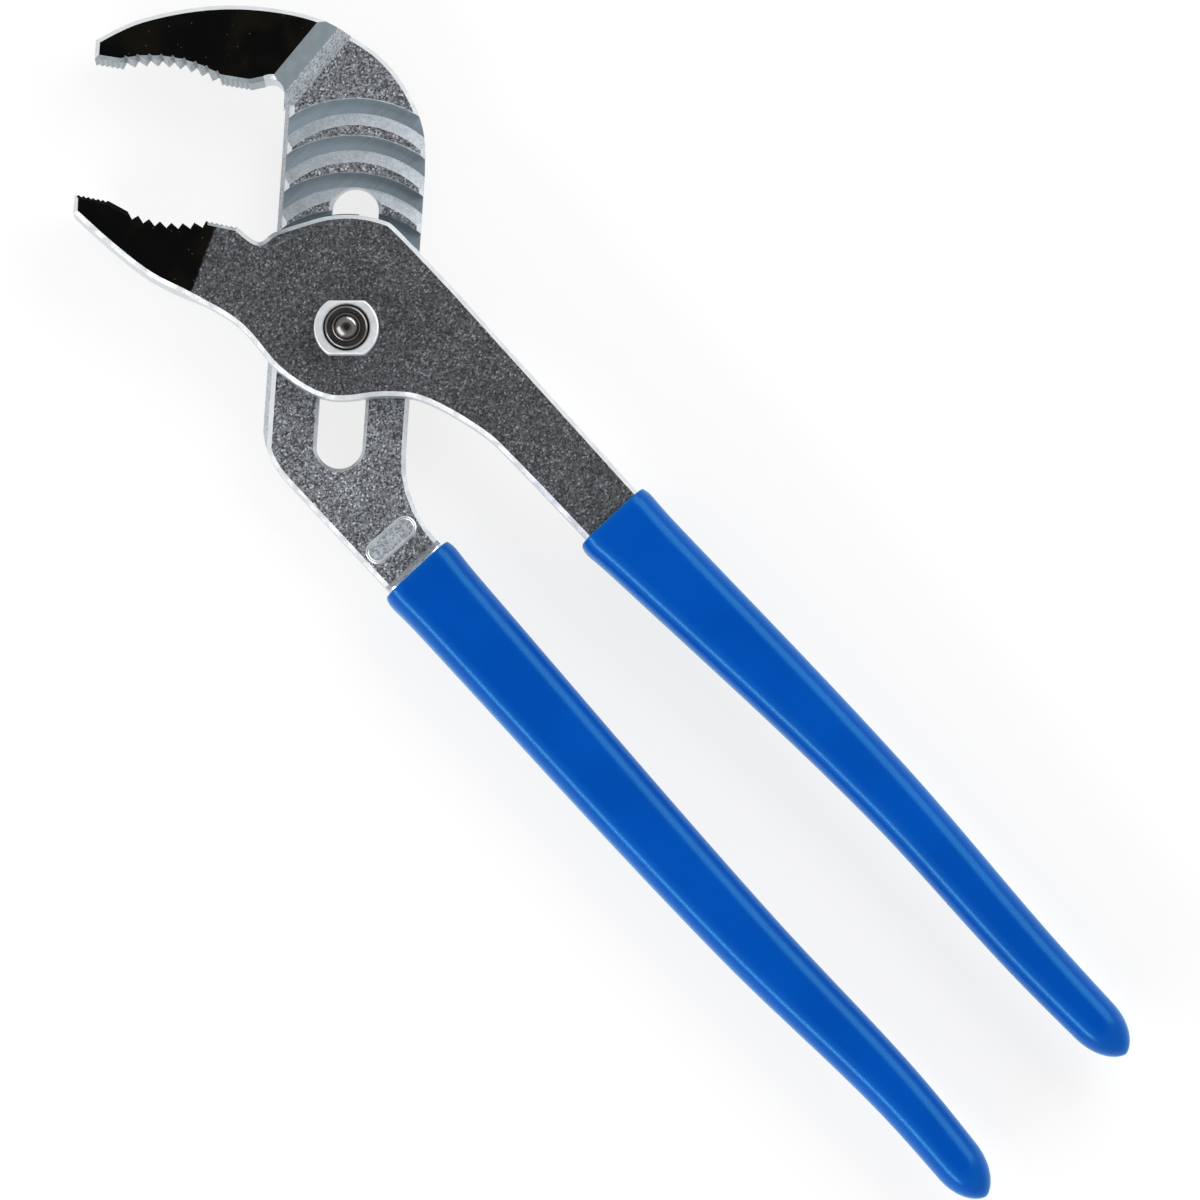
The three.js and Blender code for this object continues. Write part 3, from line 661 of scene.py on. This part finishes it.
handles = {
    "slotted": {
        "side": -1, "offset": 20.6, "start": 41.5, "end": 197.2, "creep": 0.5,
        "widths": (6.3, 7.4, 9.6, 12.8), "shifts": (2.1, 0.9, 1.8, 0.0), "startLevel": 8.2,
    },
    "tongue": {
        "side": 1, "offset": 12.3, "start": 60.3, "end": 195.6, "creep": 1.7,
        "widths": (6.3, 7.4, 8.8, 12.8), "shifts": (1.7, 1.4, 2.4, 0.0), "startLevel": 10.7,
    },
    "endLevel": 9.45,
}


# smooth value between stations, as a cubic through each of them
def smoothThrough(places, values, at):
    last = len(places) - 1
    upper = next((i for i in range(1, last) if at < places[i]), last)
    lower = upper - 1
    before = lower - 1 if lower > 0 else upper
    after = upper + 1 if upper < last else lower
    half = (places[upper] - places[lower]) / 2
    pull = half / (places[lower] - places[before])
    push = half / (places[after] - places[upper])
    p = (at - places[lower]) / (places[upper] - places[lower])
    return (
        (-pull * p**3 + 2 * pull * p**2 - pull * p) * values[before]
        + ((1 + pull) * p**3 - (1.5 + 2 * pull) * p**2 + (pull - 0.5) * p + 1) * values[lower]
        + ((-1 - push) * p**3 + (1.5 + push) * p**2 + 0.5 * p) * values[upper]
        + (push * p**3 - push * p**2) * values[after]
    )


# the sleeve's rows: up the hollow from its end, round the lip and back along the outside to the tip
def sleeveRows(handle):
    length = handle["end"] - handle["start"]
    stations = (0.0, sleeve["waist"], sleeve["bow"], length)
    rows = []

    def addRow(along, grow, corner, scale=1.0):
        fromEnd = min(max(handle["end"] - along, 0.0), length)
        share = fromEnd / length
        thick = sleeve["endThickness"] + (sleeve["startThickness"] - sleeve["endThickness"]) * share
        wide = (smoothThrough(stations, handle["widths"], fromEnd) / 2 + grow) * scale
        deep = (thick / 2 + grow) * scale
        across = handle["side"] * (handle["offset"] + smoothThrough(stations, handle["shifts"], fromEnd))
        level = handles["endLevel"] + (handle["startLevel"] - handles["endLevel"]) * share
        bend = min(corner, sleeve["fullest"] * wide, sleeve["fullest"] * deep)
        rows.append((Vector((across, -along, level)) * mm, wide * mm, deep * mm, bend * mm))

    def addEnd(to, grow, corner, outwards):
        length = sleeve["endLength"]
        full, soft = sleeve["endPower"]
        steps = range(1, sleeve["endRows"] + 1)
        for step in steps if outwards else reversed(steps):
            share = math.sin(math.pi / 2 * step / sleeve["endRows"])
            scale = (1 - share**full) ** soft if outwards else 1 - (1 - sleeve["barBlunt"]) * share**2
            addRow(to - length * (1 - share), grow, corner, max(scale, closed))

    gap, outer = sleeve["gap"], sleeve["gap"] + sleeve["wall"]
    hollowEnd = handle["end"] - sleeve["endWall"] + gap
    hollowCorner = sleeve["barCorner"] + gap
    addRow(hollowEnd, gap, hollowCorner, closed)
    addEnd(hollowEnd, gap, hollowCorner, False)
    innerFrom = hollowEnd - sleeve["endLength"]
    lip = sleeve["lipRadius"]
    mouth = handle["start"] - handle["creep"]   # the dip creeps up over the steel
    hollowRows = sleeve["rows"] // 3
    for step in range(hollowRows + 1):
        share = step / hollowRows
        addRow(innerFrom + (mouth + lip - innerFrom) * share, gap, hollowCorner)
    for step in range(1, sleeve["lipSteps"] + 1):
        share = step / sleeve["lipSteps"]
        angle = math.pi * share
        grow = gap + lip - lip * math.cos(angle)
        corner = hollowCorner + (sleeve["corner"] - hollowCorner) * share
        addRow(mouth + lip - lip * math.sin(angle), grow, corner)
    outerFrom, outerTo = mouth + lip, handle["end"] - sleeve["endLength"]
    for step in range(1, sleeve["rows"] + 1):
        share = (step / sleeve["rows"]) ** sleeve["rowSpread"]
        along = outerFrom + (outerTo - outerFrom) * share
        swell = (along - outerFrom) / sleeve["beadReach"]
        proud = sleeve["bead"] * sleeve["beadPeak"] * swell * math.exp(-swell)
        addRow(along, outer + proud, sleeve["corner"])
    addEnd(handle["end"], outer, sleeve["corner"], True)
    return rows


def dippedGrip(name, node, handle, body):
    rows = sleeveRows(handle)
    values = {
        "Rows": len(rows),
        "Corner steps": sleeve["cornerSteps"],
        "Across": (1.0, 0.0, 0.0),
        "Up": (0.0, 0.0, 1.0),
        "Finish": finishes["vinyl"],
    }
    path = sectionPath(name + "Rows", rows)
    mesh = treeToMesh(name, path, ringLoft, ringSockets, values, sleeve["sharp"])
    return newPiece(name, mesh, body, [node])


dippedGrip("slotted_dipped_grip", "slotted_half_grip", handles["slotted"], "slotted_body")
dippedGrip("tongue_dipped_grip", "tongue_half_grip", handles["tongue"], "tongue_body")
print("grips lofted")

bolt = {
    "radius": 4.0,
    "head": 7.9,
    "headThickness": 3.0,
    "headEdge": 0.9,
    "headBreak": 0.3,
    "end": 19.5,
    "chamfer": 0.5,
    "chamferLead": 1.3,    # a row before the chamfer, as a share of it
    "breakRound": 0.3,
    "ring": (3.0, 2.85, 2.7, 2.52),    # radii of the ring turned round the dimple, from outside
    "ringDepth": 0.22,
    "dimple": 2.4,
    "dimpleBreak": 0.06,
    "dimpleDepth": 1.5,
    "roundSteps": 8,
    "cornerSteps": 24,
    "sharp": 28.0,
}


# the bolt's profile as (radius, level), from under the head to the bottom of the dimple
def boltProfile():
    radius, head, top, end = bolt["radius"], bolt["head"], bolt["headThickness"], bolt["end"]
    edge, chamfer, broken = bolt["headEdge"], bolt["chamfer"], bolt["headBreak"]
    shares = [step / bolt["roundSteps"] for step in range(bolt["roundSteps"] + 1)]
    turns = [(math.sin(math.pi / 2 * share), math.cos(math.pi / 2 * share)) for share in shares]
    profile = [(closed, 0.0), (head - edge - broken, 0.0)]
    profile += [(head - edge + edge * rise, edge - edge * run) for rise, run in turns]
    cut = bolt["breakRound"] * broken
    profile += [(head, top - broken), (head - cut, top - cut), (head - broken, top)]
    profile += [(radius, top), (radius, end - bolt["chamferLead"] * chamfer)]
    profile += [(radius - chamfer + chamfer * run, end - chamfer + chamfer * rise) for rise, run in turns]
    outer, outerFloor, innerFloor, inner = bolt["ring"]
    floor = end - bolt["ringDepth"]
    profile += [(outer, end), (outerFloor, floor), (innerFloor, floor)]
    profile.append((inner, end - bolt["dimpleBreak"] / 3))
    start = end - bolt["dimpleBreak"]
    for rise, run in turns:
        profile.append((max(bolt["dimple"] * run, closed), start - bolt["dimpleDepth"] * rise))
    return profile


def turnedBolt():
    rows = [(Vector((0, 0, level)) * mm, r * mm, r * mm, r * mm) for r, level in boltProfile()]
    values = {
        "Rows": len(rows),
        "Corner steps": bolt["cornerSteps"],
        "Across": (1.0, 0.0, 0.0),
        "Up": (0.0, 1.0, 0.0),
        "Finish": finishes["bolt"],
    }
    path = sectionPath("pivotBoltRows", rows)
    mesh = treeToMesh("pivotBolt", path, ringLoft, ringSockets, values, bolt["sharp"])
    return newPiece("turned_bolt", mesh, "pivot", ["pivot_bolt"])


turnedBolt()

nut = {
    "radius": 6.0,
    "flat": 5.0,
    "bore": 4.3,
    "bottom": 15.9,
    "top": 19.1,
    "edge": 0.35,
    "boreEdge": 0.25,
    "turn": 3.8,
    "edgeSteps": 4,
    "steps": 144,
    "sharp": 24.0,
}


# round nut with two flats: a ring of sections round the bore
def spannerNut():
    sections = [("bore", 0.0, nut["bottom"] + nut["boreEdge"]), ("bore", nut["boreEdge"], nut["bottom"])]
    arc = [math.pi / 2 * step / nut["edgeSteps"] for step in range(nut["edgeSteps"] + 1)]
    corners = [(angle, nut["bottom"], nut["edge"]) for angle in arc]
    corners += [(angle, nut["top"], -nut["edge"]) for angle in reversed(arc)]
    for angle, level, rise in corners:
        inset = nut["edge"] * (1 - math.sin(angle))
        sections.append(("outside", inset, level + rise * (1 - math.cos(angle))))
    sections += [("bore", nut["boreEdge"], nut["top"]), ("bore", 0.0, nut["top"] - nut["boreEdge"])]
    work = bmesh.new()
    loops = []
    flatTurn = math.radians(nut["turn"] - plates["headTurn"] + 90)
    for kind, inset, level in sections:
        loop = []
        for step in range(nut["steps"]):
            angle = 2 * math.pi * step / nut["steps"]
            if kind == "bore":
                radius = nut["bore"] + inset
            else:
                flat = (nut["flat"] - inset) / max(abs(math.cos(angle)), 1e-6)
                radius = min(nut["radius"] - inset, flat)
            place = Vector((math.cos(angle + flatTurn), math.sin(angle + flatTurn), 0)) * radius
            loop.append(work.verts.new((place + Vector((0, 0, level))) * mm))
        loops.append(loop)
    for here, there in zip(loops, loops[1:] + loops[:1]):
        for step in range(nut["steps"]):
            after = (step + 1) % nut["steps"]
            work.faces.new((here[step], here[after], there[after], there[step]))
    bmesh.ops.recalc_face_normals(work, faces=work.faces)
    for face in work.faces:
        face.smooth = True
    for edge in work.edges:
        edge.smooth = edge.calc_face_angle() < math.radians(nut["sharp"])
    mesh = bpy.data.meshes.new("spannerNut")
    work.to_mesh(mesh)
    work.free()
    mesh.materials.append(finishes["nut"])
    return newPiece("spanner_nut", mesh, "pivot", ["pivot_nut"])


spannerNut()
print("bolt and nut turned")

ovalRim = {
    "ends": ((7.1, -41.6), (14.4, -34.1)),
    "halfWidth": 1.9,
    "padRise": 0.12,
    "padSink": 0.2,
    "thickness": 0.75,
    "proud": 0.32,
    "steps": 20,
    "beadSteps": 12,
    "sharp": 60.0,
}


# a raised bead that follows a closed path
def beadTree():
    tree = bpy.data.node_groups.new("raisedBead", "GeometryNodeTree")
    kinds = {
        "Path": "NodeSocketGeometry",
        "Bead radius": "NodeSocketFloat",
        "Bead steps": "NodeSocketInt",
        "Finish": "NodeSocketMaterial",
    }
    sockets = {}
    for name, kind in kinds.items():
        sockets[name] = tree.interface.new_socket(name, in_out="INPUT", socket_type=kind).identifier
    tree.interface.new_socket("Bead", in_out="OUTPUT", socket_type="NodeSocketGeometry")
    start = Wire(tree)
    outputs = start.node("NodeGroupInput").socket.node.outputs
    given = {name: Wire(tree, outputs[name]) for name in kinds}
    line = start.node("GeometryNodeMeshToCurve", values={"Mesh": given["Path"]})
    values = {"Resolution": given["Bead steps"], "Radius": given["Bead radius"]}
    profile = start.node("GeometryNodeCurvePrimitiveCircle", {"mode": "RADIUS"}, values)
    bead = start.node("GeometryNodeCurveToMesh", values={"Curve": line, "Profile Curve": profile})
    bead = start.node("GeometryNodeRealizeInstances", values={"Geometry": bead})
    bead = start.node("GeometryNodeSetMaterial", values={"Geometry": bead, "Material": given["Finish"]})
    start.node("NodeGroupOutput", values={"Bead": bead})
    return tree, sockets


def raisedOval():
    first, second = (Vector(end) for end in ovalRim["ends"])
    along = (second - first).normalized()
    across = Vector((-along.y, along.x))
    radius = ovalRim["halfWidth"]
    level = plates["neck"] + ovalRim["proud"] - ovalRim["thickness"] / 2
    points = []
    for centre, turn in ((second - along * radius, 0.0), (first + along * radius, math.pi)):
        for step in range(ovalRim["steps"] + 1):
            angle = turn + math.pi * (step / ovalRim["steps"] - 0.5)
            place = centre + along * radius * math.cos(angle) + across * radius * math.sin(angle)
            points.append(onNeck(place.x, place.y, level))
    path = bpy.data.meshes.new("ovalPath")
    path.from_pydata(points, [(i, (i + 1) % len(points)) for i in range(len(points))], [])
    tree, sockets = beadTree()
    values = {"Bead radius": ovalRim["thickness"] / 2 * mm, "Bead steps": ovalRim["beadSteps"]}
    values["Finish"] = finishes["edge"]
    mesh = treeToMesh("raisedOval", path, tree, sockets, values, ovalRim["sharp"])
    mesh.materials.append(finishes["paleSpeckleAndLitSlope"])
    work = bmesh.new()
    work.from_mesh(mesh)
    shift = plates["neck"] - level
    top, foot = shift + ovalRim["padRise"], shift - ovalRim["padSink"]
    rims = [[work.verts.new(place + Vector((0, 0, lift * mm))) for place in points] for lift in (foot, top)]
    pad = [work.faces.new(rims[1]), work.faces.new(reversed(rims[0]))]
    for i in range(len(points)):
        j = (i + 1) % len(points)
        pad.append(work.faces.new((rims[0][i], rims[0][j], rims[1][j], rims[1][i])))
    for face in pad:
        face.material_index = 1
    work.to_mesh(mesh)
    work.free()
    return newPiece("raised_oval", mesh, "slotted_body", [])


raisedOval()
print("raised oval laid on the neck")

stage = {
    "floorSize": 6.0,
    "floorGap": 0.1,
    "floorColour": (0.9, 0.9, 0.9, 1),
    "glow": 0.8,           # share of the floor's white that the camera sees without shade
    "skyTop": 0.04,
    "skySide": 0.72,
    "skyFrom": 0.8,
    "skyTo": 0.97,
}


def paleFloor():
    mesh = bpy.data.meshes.new("paleFloor")
    half, level = stage["floorSize"] / 2, -stage["floorGap"] * mm
    corners = [(x * half, y * half, level) for x, y in ((-1, -1), (1, -1), (1, 1), (-1, 1))]
    mesh.from_pydata(corners, [], [(0, 1, 2, 3)])
    floor = bpy.data.objects.new("pale_floor", mesh)
    scene.collection.objects.link(floor)
    material = bpy.data.materials.new("paleFloor")
    material.use_nodes = True
    material.node_tree.nodes.clear()
    start = Wire(material.node_tree)
    paper = start.node("ShaderNodeBsdfDiffuse", values={"Color": stage["floorColour"]})
    white = start.node("ShaderNodeEmission", values={"Color": (1, 1, 1, 1), "Strength": 1.0})
    rays = start.node("ShaderNodeLightPath").socket.node.outputs
    camera, glossy = (Wire(start.tree, rays[name]) for name in ("Is Camera Ray", "Is Glossy Ray"))
    seen = start.math("MAXIMUM", camera, glossy)
    shade = start.node("ShaderNodeMixShader", values={0: seen * stage["glow"], 1: paper, 2: white})
    start.node("ShaderNodeOutputMaterial", values={"Surface": shade})
    mesh.materials.append(material)


# bright all round and dim overhead, so that flat faces stay dark and edges catch the light
def studioSky():
    world = bpy.data.worlds.new("studioSky")
    world.use_nodes = True
    world.node_tree.nodes.clear()
    scene.world = world
    start = Wire(world.node_tree)
    direction = start.node("ShaderNodeTexCoord", out="Generated")
    parts = start.node("ShaderNodeSeparateXYZ", values={0: direction}).socket.node.outputs
    height = Wire(start.tree, parts[2])
    level = height.fade(stage["skyFrom"], stage["skyTo"], stage["skySide"], stage["skyTop"])
    sky = start.node("ShaderNodeBackground", values={"Color": level, "Strength": 1.0})
    start.node("ShaderNodeOutputWorld", values={"Surface": sky})


view = {
    "turn": 43.0,          # degrees from the row frame to the picture's own axes
    "tilt": 4.7,
    "target": (-0.19, -68.74, 18.75),
    "width": 220.8,        # millimetres across the picture
    "distance": 3000.0,
}


# the picture's right, up and towards-the-camera directions in the row frame
def pictureAxes():
    turn, tilt = math.radians(view["turn"]), math.radians(view["tilt"])
    right = Vector((math.cos(turn), -math.sin(turn), 0))
    upwards = Vector((math.sin(turn), math.cos(turn), 0))
    back = Vector((0, 0, 1)) * math.cos(tilt) - upwards * math.sin(tilt)
    return right, back.cross(right), back


def addCamera():
    right, up, back = pictureAxes()
    lens = bpy.data.cameras.new("camera")
    lens.sensor_width = 36.0
    lens.lens = lens.sensor_width * view["distance"] / view["width"]
    camera = bpy.data.objects.new("camera", lens)
    scene.collection.objects.link(camera)
    place = Matrix((right, up, back)).transposed().to_4x4()
    place.translation = (Vector(view["target"]) + back * view["distance"]) * mm
    camera.matrix_world = place
    scene.camera = camera


softboxes = {
    "left": {"side": -0.8, "lift": 0.32, "up": -0.75, "size": (0.8, 0.12), "power": 3.5},
    "right": {"side": 0.8, "lift": 0.45, "up": 0.75, "size": (0.8, 0.45), "power": 4.2},
    "reach": 0.55,
}


# long softboxes at both sides of the picture, facing the middle of the tool
def addSoftbox(name):
    settings = softboxes[name]
    right, up, back = pictureAxes()
    middle = Vector(view["target"]) * mm
    place = middle + (right * settings["side"] + up * settings["up"]) * softboxes["reach"]
    place.z += settings["lift"]
    light = bpy.data.lights.new(name + "Softbox", "AREA")
    light.shape = "RECTANGLE"
    light.size, light.size_y = settings["size"]
    light.energy = settings["power"]
    lamp = bpy.data.objects.new(name + "Softbox", light)
    scene.collection.objects.link(lamp)
    lamp.location = place
    lamp.rotation_euler = (middle - place).to_track_quat("-Z", "Y").to_euler()


paleFloor()
studioSky()
addCamera()
for boxName in ("left", "right"):
    addSoftbox(boxName)
scene.view_settings.view_transform = "Standard"
print("stage, lights and camera set")
